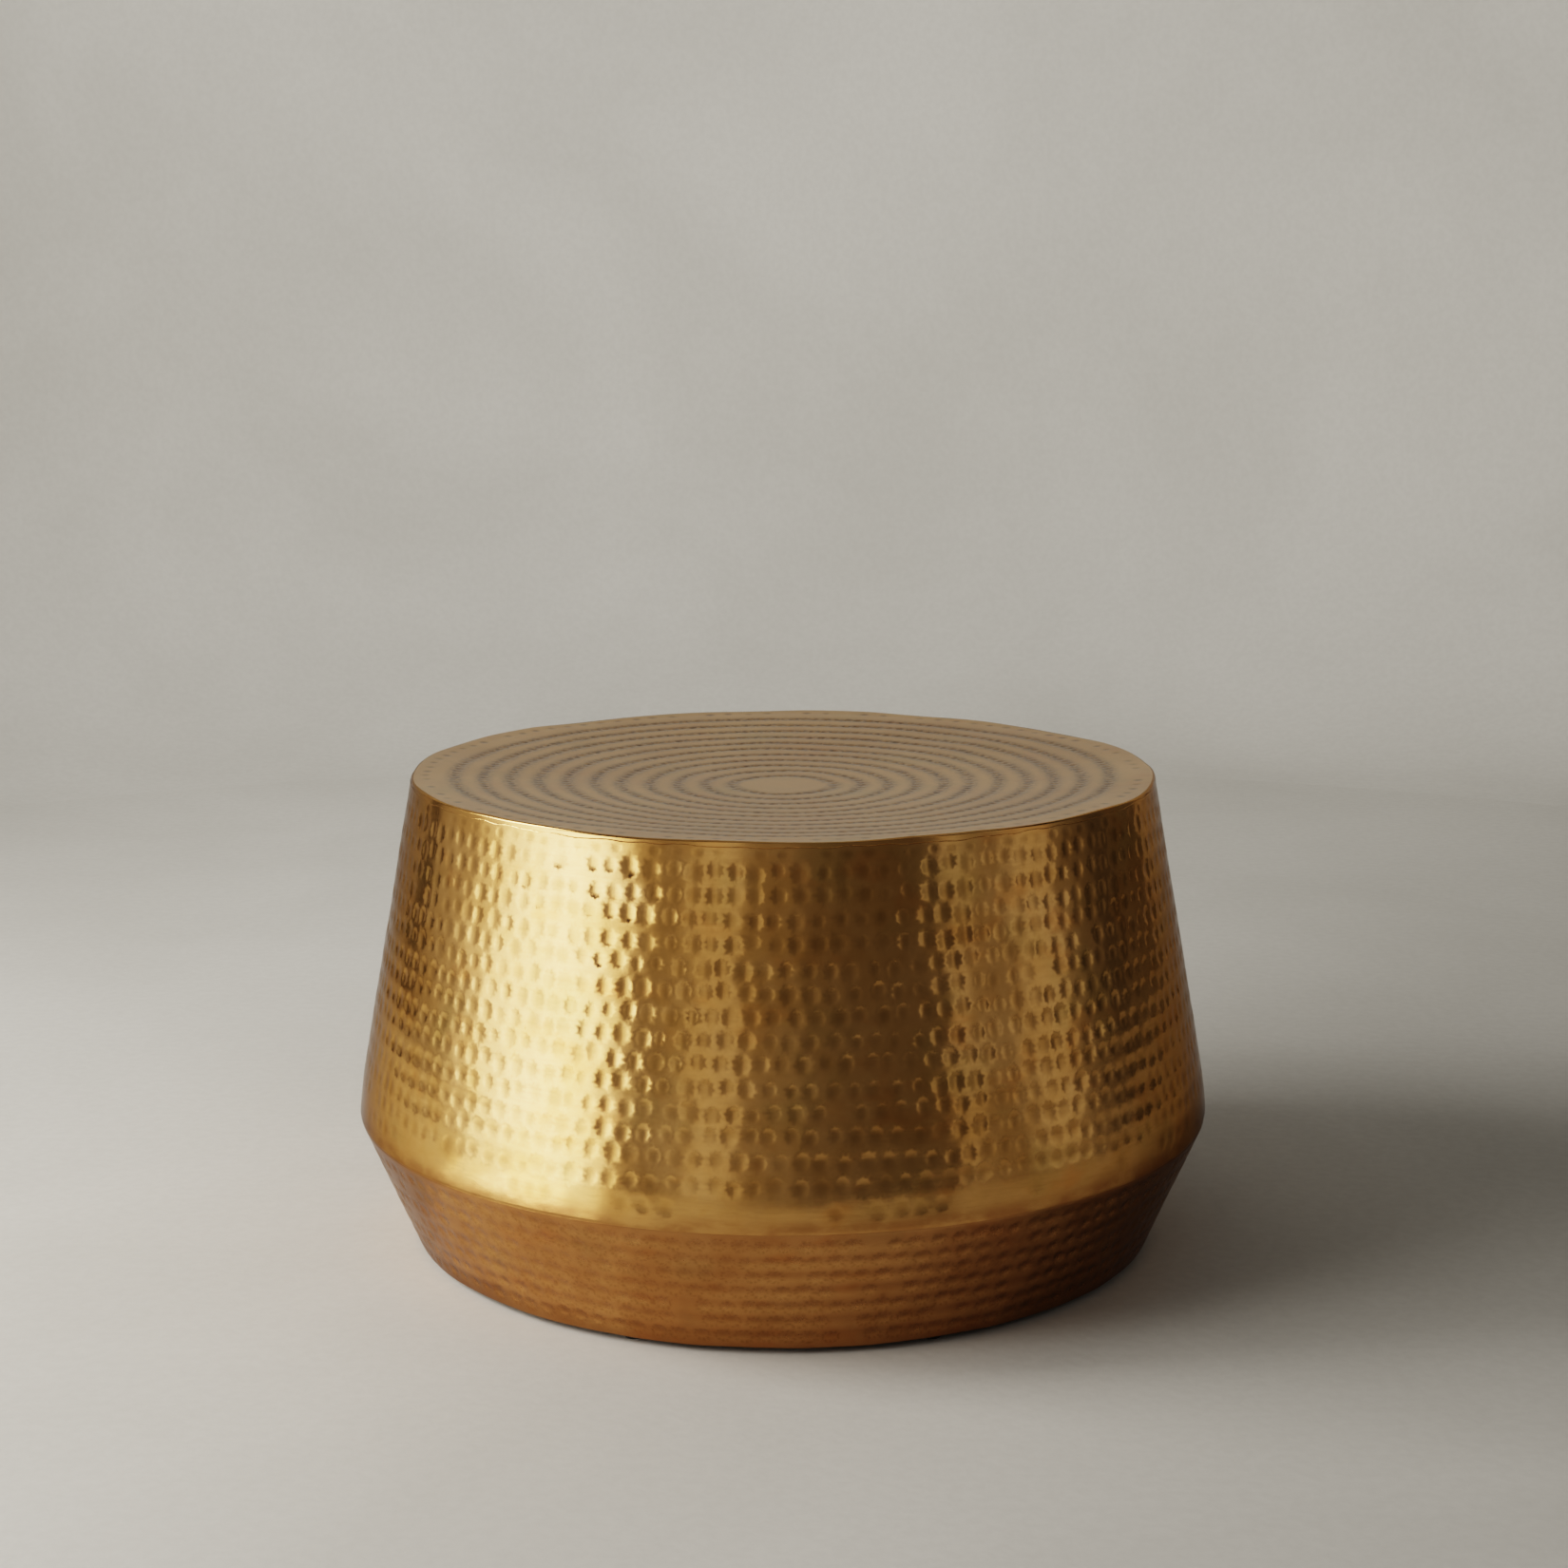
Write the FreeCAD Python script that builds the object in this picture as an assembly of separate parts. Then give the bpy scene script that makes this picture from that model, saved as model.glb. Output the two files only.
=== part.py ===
import FreeCAD, Part
import math, os

# Round drum coffee table: a hammered, brass-finished sheet-metal drum on a hidden steel frame.
# Millimetres. +Z is up, the origin is on the floor at the middle of the base, -Y is the front.

# ---------------------------------------------------------------- driving dimensions
HEIGHT = 408.0            # rim of the table above the floor
R_RIM, TILT_U = 320.2, 10.26    # where the upper wall's outer line meets the top face, and its lean in degrees
Z_CURVE, R_BELLY = 157.0, 378.0 # where the upper wall starts to curve in towards the belly, and that curve's radius
R_CORNER = 12.0           # outside radius of the belly corner, in section
R_FOOT, TILT_L = 322.0, 23.2    # where the lower wall's line would meet the floor, and its lean
SHEET = 1.5               # wall and top sheet thickness
GAP = 0.10                # solder or glue film between lapped sheets
FLOOR_GAP = 4.5           # underside of the drum above the floor, set by the glides

LIP_S = 6.6               # length of the top plate's turned-down lip, along the wall
JOG_END, JOG_RAMP = 7.0, 8.6    # joggle in the upper wall that the lip sits in
RIM_S = 2.2               # where the wall's upper edge stops below the top plate
LAP = 15.0                # lap of the two walls above the belly corner, along the wall

RING_FIRST, RING_PITCH, RING_COUNT = 44.0, 23.9, 12   # pressed rings in the top plate
RING_W, RING_D = 9.0, 1.0
DISH, R_DISH = 16.0, 318.0          # the top plate is dished: depth of its flat middle below the rim, and where the dish starts

BOARD_T, R_BOARD = 12.0, 319.0      # board under the top plate
ANGLE_LEG, ANGLE_T = 20.0, 3.0      # rolled angle of the rim and base rings
BASE_LEG = 25.0                     # width of the base ring's flat leg
SPLICE = 0.05                       # half degrees left for the weld between two ring quarters
BAND_T, BAND_W = 1.5, 30.0          # backing band behind the belly lap
BAR_W, BAR_T = 22.0, 4.0            # uprights
CROSS_W, CROSS_T = 30.0, 5.0        # cross bars under the board
CLEAR = 0.15                        # wall to frame

SCREW_R, SCREW_HOLE = 2.0, 2.25     # board screws, and their holes in the steel
R_BOARD_SCREWS, R_CROSS_SCREWS = 311.5, 120.0
GLIDE_R, R_GLIDES = 8.5, 306.5
R_HEM = 316.0                       # inner edge of the hem turned in under the base ring
GLIDE_HEAD_R, GLIDE_HEAD_Z = 3.8, 1.2

V = FreeCAD.Vector
AX = V(0, 0, 1)
os.makedirs("parts", exist_ok=True)


# ---------------------------------------------------------------- section geometry, in the (r, z) half plane
def add(a, b, k=1.0):
    return (a[0] + k * b[0], a[1] + k * b[1])


def unit(a, b):
    d = math.hypot(b[0] - a[0], b[1] - a[1])
    return ((b[0] - a[0]) / d, (b[1] - a[1]) / d)


TU, TL = math.radians(TILT_U), math.radians(TILT_L)
RIM, FOOT = (R_RIM, HEIGHT), (R_FOOT, 0.0)
DOWN_U, DOWN_L = (math.sin(TU), -math.cos(TU)), (-math.sin(TL), -math.cos(TL))
OUT_U, OUT_L = (math.cos(TU), math.sin(TU)), (math.cos(TL), -math.sin(TL))    # outward normals of the two walls
S_CURVE = (HEIGHT - Z_CURVE) / math.cos(TU)
CURVE_C = add(add(RIM, DOWN_U, S_CURVE), OUT_U, -R_BELLY)
REACH = OUT_L[0] * (FOOT[0] - CURVE_C[0]) + OUT_L[1] * (FOOT[1] - CURVE_C[1]) - R_CORNER
ANG_CORNER = math.acos(REACH / (R_BELLY - R_CORNER)) - TL      # the curve's normal where the corner starts
CORNER_C = (CURVE_C[0] + (R_BELLY - R_CORNER) * math.cos(ANG_CORNER), CURVE_C[1] + (R_BELLY - R_CORNER) * math.sin(ANG_CORNER))
LOW_START = add(CORNER_C, OUT_L, R_CORNER)
S_CORNER = S_CURVE + R_BELLY * (TU - ANG_CORNER)
S_LOWER = S_CORNER + R_CORNER * (ANG_CORNER + TL)
S_SEAM = (S_CORNER + S_LOWER) / 2


def wall(s, off):
    """Point on the wall, s down the outer face from the rim, off inward of that face."""
    if s <= S_CURVE:
        return add(add(RIM, DOWN_U, s), OUT_U, -off)
    if s >= S_LOWER:
        return add(add(LOW_START, DOWN_L, s - S_LOWER), OUT_L, -off)
    c, r, a = (CURVE_C, R_BELLY, TU - (s - S_CURVE) / R_BELLY) if s <= S_CORNER else \
        (CORNER_C, R_CORNER, ANG_CORNER - (s - S_CORNER) / R_CORNER)
    return (c[0] + (r - off) * math.cos(a), c[1] + (r - off) * math.sin(a))


def run(s0, s1, off):
    """The moves along the wall from s0 to s1, off inward of the outer face."""
    cuts = [c for c in (S_CURVE, S_CORNER, S_LOWER) if min(s0, s1) + 1e-6 < c < max(s0, s1) - 1e-6]
    moves, at = [], s0
    for c in (cuts if s1 > s0 else cuts[::-1]) + [s1]:
        mid = (at + c) / 2
        straight = mid < S_CURVE or mid > S_LOWER
        moves.append(("L", wall(c, off)) if straight else ("A", wall(mid, off), wall(c, off)))
        at = c
    return moves


def s_u(z, off):
    """How far down the upper wall's straight part the height z is, on the face off inward."""
    return (HEIGHT - z - off * math.sin(TU)) / math.cos(TU)


def s_l(z, off):
    """The same on the lower wall."""
    return S_LOWER + (LOW_START[1] - z + off * math.sin(TL)) / math.cos(TL)


def line_u_r(z, off):
    """Radius of the upper wall's straight part at height z, off inward along the normal."""
    return wall(s_u(z, off), off)[0]


def line_l_r(z, off):
    return wall(s_l(z, off), off)[0]


def section(start, moves):
    """A closed face in the XZ plane from lines ("L", end) and three-point arcs ("A", middle, end)."""
    p3 = lambda q: V(q[0], 0, q[1])
    edges, at = [], start
    for m in moves:
        end = m[-1]
        if math.hypot(end[0] - at[0], end[1] - at[1]) < 1e-7:
            continue
        if m[0] == "L":
            edges.append(Part.LineSegment(p3(at), p3(end)).toShape())
        else:
            edges.append(Part.Arc(p3(at), p3(m[1]), p3(end)).toShape())
        at = end
    if math.hypot(start[0] - at[0], start[1] - at[1]) > 1e-7:
        edges.append(Part.LineSegment(p3(at), p3(start)).toShape())
    return Part.Face(Part.Wire(edges))


def ring(start, moves):
    return section(start, moves).revolve(V(0, 0, 0), AX, 360)


def quarter(start, moves, middle):
    """A quarter of a ring, centred on an angle in degrees."""
    face = section(start, moves)
    face.rotate(V(0, 0, 0), AX, middle - 45 + SPLICE)
    return face.revolve(V(0, 0, 0), AX, 90 - 2 * SPLICE)


def solid_of(shape):
    shape = shape.removeSplitter() if hasattr(shape, "removeSplitter") else shape
    return shape.Solids[0] if len(shape.Solids) == 1 else shape


def save(name, shape):
    solids = shape.Solids
    assert solids and all(s.isValid() and s.Volume > 0 for s in solids), name
    out = solids[0] if len(solids) == 1 else Part.makeCompound(solids)
    out.exportStep(os.path.join("parts", name + ".step"))
    b = shape.BoundBox
    print("%-26s solids %2d  volume %9.1f cm3  r/z %7.1f .. %7.1f / %7.1f .. %7.1f"
          % (name, len(solids), sum(s.Volume for s in solids) / 1000, b.XMin, b.XMax, b.ZMin, b.ZMax))


def at_angle(shape, deg):
    c = shape.copy()
    c.rotate(V(0, 0, 0), AX, deg)
    return c


def fillet2(a, corner, b, radius):
    """Start, middle and end of an arc that rounds a corner."""
    ua, ub = unit(corner, a), unit(corner, b)
    half = math.acos(max(-1, min(1, ua[0] * ub[0] + ua[1] * ub[1]))) / 2
    t = radius / math.tan(half)
    s, e = add(corner, ua, t), add(corner, ub, t)
    bis = unit((0, 0), (ua[0] + ub[0], ua[1] + ub[1]))
    centre = add(corner, bis, radius / math.sin(half))
    return s, add(centre, bis, -radius), e


def cylinder(radius, z0, z1, x=0.0, y=0.0):
    return Part.makeCylinder(radius, z1 - z0, V(x, y, z0), AX)


# ---------------------------------------------------------------- top plate: dished sheet with pressed rings, a flat middle and a turned-down lip
lip_end_out, lip_end_in = wall(LIP_S, 0.0), wall(LIP_S, SHEET)
under = HEIGHT - SHEET
corner_in = (line_u_r(under, SHEET), under)
o_s, o_m, o_e = fillet2((0, HEIGHT), RIM, lip_end_out, 2.6)
i_s, i_m, i_e = fillet2((0, under), corner_in, lip_end_in, 1.1)
R_MIDDLE = RING_FIRST - RING_W / 2


def dish(r):
    """Height of the top plate's upper face at radius r, rings apart: a flat middle, then a curve up to the rim."""
    return HEIGHT - DISH * (1 - (max(r, R_MIDDLE)**2 - R_MIDDLE**2) / (R_DISH**2 - R_MIDDLE**2))


moves = []
rings = [RING_FIRST + RING_PITCH * k for k in range(RING_COUNT)]
for r in rings:
    a, b = r - RING_W / 2, r + RING_W / 2
    moves += [("L", (a, dish(a))), ("A", (r, dish(r) - RING_D), (b, dish(b)))]
moves += [("L", o_s), ("A", o_m, o_e), ("L", lip_end_out), ("L", lip_end_in), ("L", i_e), ("A", i_m, i_s)]
for r in reversed(rings):
    a, b = r - RING_W / 2, r + RING_W / 2
    moves += [("L", (b, dish(b) - SHEET)), ("A", (r, dish(r) - RING_D - SHEET), (a, dish(a) - SHEET))]
moves += [("L", (0, dish(0) - SHEET)), ("L", (0, dish(0)))]
top_plate = ring((0, dish(0)), moves)

# ---------------------------------------------------------------- upper wall: rolled cone with a joggled rim, curved in at the belly
off = SHEET + GAP
upper_shell = ring(wall(RIM_S, off), [("L", wall(JOG_END, off)), ("L", wall(JOG_RAMP, 0.0))] + run(JOG_RAMP, S_SEAM, 0.0)
                   + [("L", wall(S_SEAM, SHEET))] + run(S_SEAM, JOG_RAMP + 0.4, SHEET)
                   + [("L", wall(JOG_END + 0.4, off + SHEET)), ("L", wall(RIM_S, off + SHEET))])

# ---------------------------------------------------------------- lower wall: a lap inside the upper wall, the lower cone, and a hem at the foot
foot_out = wall(s_l(FLOOR_GAP, 0.0), 0.0)
corner_low_in = (line_l_r(FLOOR_GAP + SHEET, SHEET), FLOOR_GAP + SHEET)
a_s, a_m, a_e = fillet2(wall(S_LOWER, 0.0), foot_out, (R_HEM, FLOOR_GAP), 4.0)
b_s, b_m, b_e = fillet2((R_HEM, FLOOR_GAP + SHEET), corner_low_in, wall(S_LOWER + 5, SHEET), 2.5)
under_seam = S_SEAM + 0.05
lower_shell = ring(wall(S_SEAM - LAP, off), run(S_SEAM - LAP, under_seam + 0.12, off) + [("L", wall(under_seam, 0.0))]
                   + run(under_seam, S_LOWER, 0.0) + [
    ("L", a_s), ("A", a_m, a_e), ("L", (R_HEM, FLOOR_GAP)), ("L", (R_HEM, FLOOR_GAP + SHEET)), ("L", b_s), ("A", b_m, b_e),
    ("L", wall(S_SEAM + 7.0, SHEET)), ("L", wall(S_LOWER, off + SHEET))]
                   + run(S_LOWER, S_SEAM - LAP, off + SHEET))

# ---------------------------------------------------------------- belly band: backing strip behind the lap
b_off = off + SHEET + CLEAR - 0.05
belly_band = ring(wall(S_SEAM - BAND_W / 2, b_off), run(S_SEAM - BAND_W / 2, S_SEAM + BAND_W / 2, b_off)
                  + [("L", wall(S_SEAM + BAND_W / 2, b_off + BAND_T))] + run(S_SEAM + BAND_W / 2, S_SEAM - BAND_W / 2, b_off + BAND_T))

# ---------------------------------------------------------------- rim ring: rolled angle that carries the board, in quarters that meet at the uprights
board_top = dish(RING_FIRST) - SHEET - RING_D - 0.02      # the dish rests on it round its flat middle
board_low = board_top - BOARD_T
ra = SHEET + CLEAR
z0, z1, z2 = board_low - ANGLE_LEG, board_low - ANGLE_T, board_low
r_leg_in = line_u_r(z2, ra) - ANGLE_LEG
SIDES = {"right": 0, "back": 90, "left": 180, "front": 270}
rim_quarters = {side: quarter((line_u_r(z2, ra), z2), [
    ("L", (line_u_r(z0, ra), z0)), ("L", (line_u_r(z0, ra + ANGLE_T), z0)), ("L", (line_u_r(z1, ra + ANGLE_T), z1)),
    ("L", (r_leg_in, z1)), ("L", (r_leg_in, z2))], deg) for side, deg in SIDES.items()}

# ---------------------------------------------------------------- base ring: rolled angle on the lower wall's hem, in quarters that meet at the uprights
y0, y1, y2 = FLOOR_GAP + SHEET, FLOOR_GAP + SHEET + ANGLE_T, FLOOR_GAP + SHEET + ANGLE_LEG
r_low_out = line_l_r(y0, ra)
r_base_in = r_low_out - BASE_LEG
base_quarters = {side: quarter((r_low_out - 3.0, y0), [
    ("L", (line_l_r(y0 + 3.0, ra), y0 + 3.0)), ("L", (line_l_r(y2, ra), y2)), ("L", (line_l_r(y2, ra + ANGLE_T), y2)),
    ("L", (line_l_r(y1, ra + ANGLE_T), y1)), ("L", (r_base_in, y1)), ("L", (r_base_in, y0))], deg) for side, deg in SIDES.items()}


def side_of(x, y):
    return ("right", "back", "left", "front")[int((math.degrees(math.atan2(y, x)) + 45) % 360 // 90)]


# ---------------------------------------------------------------- board under the top plate
board = cylinder(R_BOARD, board_low, board_top)

# ---------------------------------------------------------------- cross bars, half-lapped in the middle
trim = cylinder(r_leg_in - 0.05, board_low - CROSS_T - 1, board_low + 1)
bar = Part.makeBox(2 * r_leg_in, CROSS_W, CROSS_T, V(-r_leg_in, -CROSS_W / 2, board_low - CROSS_T)).common(trim)
half_w = CROSS_W / 2 + 0.1
notch_top = Part.makeBox(2 * half_w, CROSS_W + 2, CROSS_T, V(-half_w, -CROSS_W / 2 - 1, board_low - CROSS_T / 2 - 0.02))
notch_low = Part.makeBox(2 * half_w, CROSS_W + 2, CROSS_T, V(-half_w, -CROSS_W / 2 - 1, board_low - 1.5 * CROSS_T + 0.02))
cross_x, cross_y = bar.cut(notch_top), at_angle(bar.cut(notch_low), 90)

# ---------------------------------------------------------------- uprights: bent flat bars inside the rings
u_off = SHEET + CLEAR + ANGLE_T + 0.35
top_z = board_low - ANGLE_T - 0.05
low_z = FLOOR_GAP + SHEET + ANGLE_T + 0.05
i_off = u_off + BAR_T
upright = section(wall(s_u(top_z, u_off), u_off), run(s_u(top_z, u_off), s_l(low_z, u_off), u_off)
                  + [("L", wall(s_l(low_z, i_off), i_off))] + run(s_l(low_z, i_off), s_u(top_z, i_off), i_off)
                  ).extrude(V(0, BAR_W, 0))
upright.translate(V(0, -BAR_W / 2, 0))
UPRIGHTS = {"upright_back_right": 45, "upright_back_left": 135, "upright_front_left": 225, "upright_front_right": 315}

# ---------------------------------------------------------------- board screws, up through the rim ring and the cross bars
spots = [(R_BOARD_SCREWS * math.cos(math.radians(a)), R_BOARD_SCREWS * math.sin(math.radians(a)), board_low - ANGLE_T)
         for a in [22.5 + 45 * k for k in range(8)]]
spots += [(R_CROSS_SCREWS * math.cos(math.radians(a)), R_CROSS_SCREWS * math.sin(math.radians(a)), board_low - CROSS_T)
          for a in (0, 90, 180, 270)]
board_screws = []
for x, y, z in spots:
    head = ring((0, z), [("L", (4.0, z)), ("L", (4.0, z - 1.2)), ("A", (2.6, z - 2.4), (0, z - 2.8))])
    tip = board_low + 10.5
    shank = ring((0, z), [("L", (SCREW_R, z)), ("L", (SCREW_R, tip - 2.5)), ("L", (0, tip))])
    recess = Part.makeBox(4.0, 0.9, 1.1, V(-2.0, -0.45, z - 2.9)).fuse(Part.makeBox(0.9, 4.0, 1.1, V(-0.45, -2.0, z - 2.9)))
    s = head.fuse(shank).removeSplitter().cut(recess)
    s.translate(V(x, y, 0))
    board_screws.append(solid_of(s))
    board = board.cut(Part.makeCylinder(SCREW_R + 0.05, tip - board_low + 0.3, V(x, y, board_low), AX))
    hole = cylinder(SCREW_HOLE, board_low - 8, board_low + 1, x, y)
    if z > board_low - CROSS_T + 0.5:
        rim_quarters[side_of(x, y)] = rim_quarters[side_of(x, y)].cut(hole)
    elif abs(y) < 1:
        cross_x = cross_x.cut(hole)
    else:
        cross_y = cross_y.cut(hole)

# ---------------------------------------------------------------- glides under the base ring, and their screws up into it
GLIDES = ["glide_right_back", "glide_back_right", "glide_back_left", "glide_left_back",
          "glide_left_front", "glide_front_left", "glide_front_right", "glide_right_front"]
glides, glide_screws = {}, []
neck = GLIDE_HEAD_Z + (GLIDE_HEAD_R - SCREW_R) * 1.0
for k, name in enumerate(GLIDES):
    a = math.radians(22.5 + 45 * k)
    x, y = R_GLIDES * math.cos(a), R_GLIDES * math.sin(a)
    seat = FLOOR_GAP + SHEET
    body = ring((SCREW_R + 0.1, seat), [
        ("L", (GLIDE_R - 0.6, seat)), ("L", (GLIDE_R, seat - 0.6)), ("L", (GLIDE_R, 1.2)),
        ("A", (GLIDE_R - 0.35, 0.35), (GLIDE_R - 1.2, 0)), ("L", (GLIDE_HEAD_R + 0.3, 0)), ("L", (GLIDE_HEAD_R + 0.3, GLIDE_HEAD_Z - 0.1)),
        ("L", (SCREW_R + 0.1, neck + 0.15))])
    body.translate(V(x, y, 0))
    glides[name] = body
    tip = FLOOR_GAP + SHEET + ANGLE_T + 5.0
    s = ring((0, GLIDE_HEAD_Z), [("L", (GLIDE_HEAD_R, GLIDE_HEAD_Z)), ("L", (SCREW_R, neck)), ("L", (SCREW_R, tip - 1.5)), ("L", (0.8, tip)), ("L", (0, tip))])
    recess = Part.makeBox(4.0, 0.9, 1.0, V(-2.0, -0.45, GLIDE_HEAD_Z - 0.1)).fuse(Part.makeBox(0.9, 4.0, 1.0, V(-0.45, -2.0, GLIDE_HEAD_Z - 0.1)))
    s = s.cut(recess)
    s.rotate(V(0, 0, 0), AX, 17 * k)
    s.translate(V(x, y, 0))
    glide_screws.append(solid_of(s))
    hole = cylinder(SCREW_R + 0.1, FLOOR_GAP - 1, FLOOR_GAP + SHEET + ANGLE_T + 1, x, y)
    base_quarters[side_of(x, y)] = base_quarters[side_of(x, y)].cut(hole)

# ---------------------------------------------------------------- write every piece
save("top_plate", top_plate)
save("top_board", board)
save("upper_shell", upper_shell)
save("lower_shell", lower_shell)
for side, shape in rim_quarters.items():
    save("rim_ring_" + side, shape)
save("belly_band", belly_band)
for side, shape in base_quarters.items():
    save("base_ring_" + side, shape)
for name, deg in UPRIGHTS.items():
    save(name, at_angle(upright, deg))
save("cross_bar_side_to_side", cross_x)
save("cross_bar_front_to_back", cross_y)
save("board_screws", Part.makeCompound(board_screws))
for name, body in glides.items():
    save(name, body)
save("glide_screws", Part.makeCompound(glide_screws))
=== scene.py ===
import math
import bpy
import numpy as np
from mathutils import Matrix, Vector
from mathutils.geometry import delaunay_2d_cdt


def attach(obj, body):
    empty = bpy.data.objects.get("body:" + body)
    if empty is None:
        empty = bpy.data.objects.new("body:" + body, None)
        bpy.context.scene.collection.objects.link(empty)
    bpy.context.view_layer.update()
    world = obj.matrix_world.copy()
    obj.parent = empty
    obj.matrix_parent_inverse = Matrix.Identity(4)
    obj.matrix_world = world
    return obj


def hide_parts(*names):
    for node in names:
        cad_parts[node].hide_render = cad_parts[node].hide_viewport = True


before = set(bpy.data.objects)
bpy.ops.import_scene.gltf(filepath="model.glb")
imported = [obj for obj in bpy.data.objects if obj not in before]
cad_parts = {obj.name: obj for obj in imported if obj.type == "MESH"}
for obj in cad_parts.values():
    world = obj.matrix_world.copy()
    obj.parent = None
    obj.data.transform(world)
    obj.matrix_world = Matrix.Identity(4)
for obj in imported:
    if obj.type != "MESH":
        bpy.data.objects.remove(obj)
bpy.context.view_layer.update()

# Round drum coffee table in hammered brass. Lengths here are millimetres until a mesh is written, in metres.
MM = 0.001
TAU = 2 * math.pi

# ------------------------------------------------------------------ section of the drum, as the CAD has it
HEIGHT, R_RIM, TILT_U = 408.0, 320.2, math.radians(10.26)
Z_CURVE, R_BELLY, R_CORNER = 157.0, 378.0, 12.0
R_FOOT, TILT_L = 322.0, math.radians(23.2)
SHEET, FLOOR_GAP, R_HEM, R_FOOT_BEND = 1.5, 4.5, 316.0, 4.0
LIP_S, R_EDGE = 5.2, 2.6
RING_FIRST, RING_PITCH, RING_COUNT = 44.0, 23.9, 12


def normal(angle):
    return np.array([math.cos(angle), math.sin(angle)])


ANG_U, ANG_L = TILT_U, -TILT_L
RIM = np.array([R_RIM, HEIGHT])
OUT_U, OUT_L = normal(ANG_U), normal(ANG_L)
DOWN_U, DOWN_L = np.array([OUT_U[1], -OUT_U[0]]), np.array([OUT_L[1], -OUT_L[0]])
S_CURVE = (HEIGHT - Z_CURVE) / math.cos(TILT_U)
CURVE_C = RIM + DOWN_U * S_CURVE - OUT_U * R_BELLY
REACH = float(OUT_L @ (np.array([R_FOOT, 0.0]) - CURVE_C)) - R_CORNER
ANG_CORNER = math.acos(REACH / (R_BELLY - R_CORNER)) - TILT_L
CORNER_C = CURVE_C + (R_BELLY - R_CORNER) * normal(ANG_CORNER)
LOW_START = CORNER_C + OUT_L * R_CORNER
FOOT_CORNER = LOW_START + DOWN_L * ((LOW_START[1] - FLOOR_GAP) / math.cos(TILT_L))
FOOT_T = R_FOOT_BEND / math.tan((math.pi / 2 - ANG_L) / 2)
FOOT_A, FOOT_B = FOOT_CORNER - DOWN_L * FOOT_T, FOOT_CORNER - np.array([FOOT_T, 0.0])
FOOT_C = FOOT_A - OUT_L * R_FOOT_BEND

# distances down the outside of the drum, from the rim line
S_CORNER = S_CURVE + R_BELLY * (ANG_U - ANG_CORNER)
S_LOWER = S_CORNER + R_CORNER * (ANG_CORNER - ANG_L)
S_SEAM = (S_CORNER + S_LOWER) / 2
S_FOOT = S_LOWER + float(np.linalg.norm(FOOT_A - LOW_START))
S_HEM = S_FOOT + R_FOOT_BEND * (ANG_L + math.pi / 2)
S_END = S_HEM + float(FOOT_B[0] - R_HEM)


def profile(s):
    """Radius, height and outward normal (in the r, z plane) of the drum's outside at distance s down from the rim line."""
    s = np.asarray(s, float)
    r, z, nr, nz = (np.zeros_like(s) for _ in range(4))

    def straight(m, start, s0, along, out):
        r[m], z[m] = start[0] + along[0] * (s[m] - s0), start[1] + along[1] * (s[m] - s0)
        nr[m], nz[m] = out

    def arc(m, centre, radius, a0, s0):
        a = a0 - (s[m] - s0) / radius
        nr[m], nz[m] = np.cos(a), np.sin(a)
        r[m], z[m] = centre[0] + radius * np.cos(a), centre[1] + radius * np.sin(a)

    straight(s <= S_CURVE, RIM, 0.0, DOWN_U, OUT_U)
    arc((s > S_CURVE) & (s <= S_CORNER), CURVE_C, R_BELLY, ANG_U, S_CURVE)
    arc((s > S_CORNER) & (s <= S_LOWER), CORNER_C, R_CORNER, ANG_CORNER, S_CORNER)
    straight((s > S_LOWER) & (s <= S_FOOT), LOW_START, S_LOWER, DOWN_L, OUT_L)
    arc((s > S_FOOT) & (s <= S_HEM), FOOT_C, R_FOOT_BEND, ANG_L, S_FOOT)
    straight(s > S_HEM, FOOT_B, S_HEM, np.array([-1.0, 0.0]), np.array([0.0, -1.0]))
    return r, z, nr, nz


# ------------------------------------------------------------------ relief: hammer pits and the sheet's slow waves
def waves(seed, count, shortest, longest, size, around):
    """Waves of a hand-beaten sheet: (turns round the drum, wave number down the wall, phase, height)."""
    rng = np.random.RandomState(seed)
    length = np.exp(rng.uniform(math.log(shortest), math.log(longest), count))
    way = rng.uniform(0, TAU, count)
    turns = np.round(around / length * np.cos(way))
    down = TAU / length * np.sin(way)
    high = (length / longest) ** 0.9
    high *= size / math.sqrt((high**2).sum() / 2)
    return turns, down, rng.uniform(0, TAU, count), high


WALL_WAVES = waves(11, 26, 38.0, 150.0, 0.15, TAU * 345)
WALL_BASE = -0.42


def wall_wave(theta, s, r):
    """Height, slope round and slope down of the wall's slow waves, which die out at the rim. Kept inside the CAD face."""
    turns, down, phase, high = WALL_WAVES
    h, gt, gs = (np.zeros(len(s)) for _ in range(3))
    for m, q, p, a in zip(turns, down, phase, high):
        w = m * theta + q * s + p
        h += a * np.cos(w)
        gt -= a * m / r * np.sin(w)
        gs -= a * q * np.sin(w)
    t = np.clip((s - 5.0) / 18.0, 0, 1)
    full, grow = t * t * (3 - 2 * t), 6 * t * (1 - t) / 18.0
    return WALL_BASE + h * full, gt * full, gs * full + h * grow


EDGE_SOFT = 0.16     # how softly a pit's edge turns into the land
DISH = 2.2           # 2 is an even bowl; higher is a flatter floor with a steeper edge


def softplus(t):
    return np.where(t > 30, t, np.log1p(np.exp(np.minimum(t, 30))))


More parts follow.
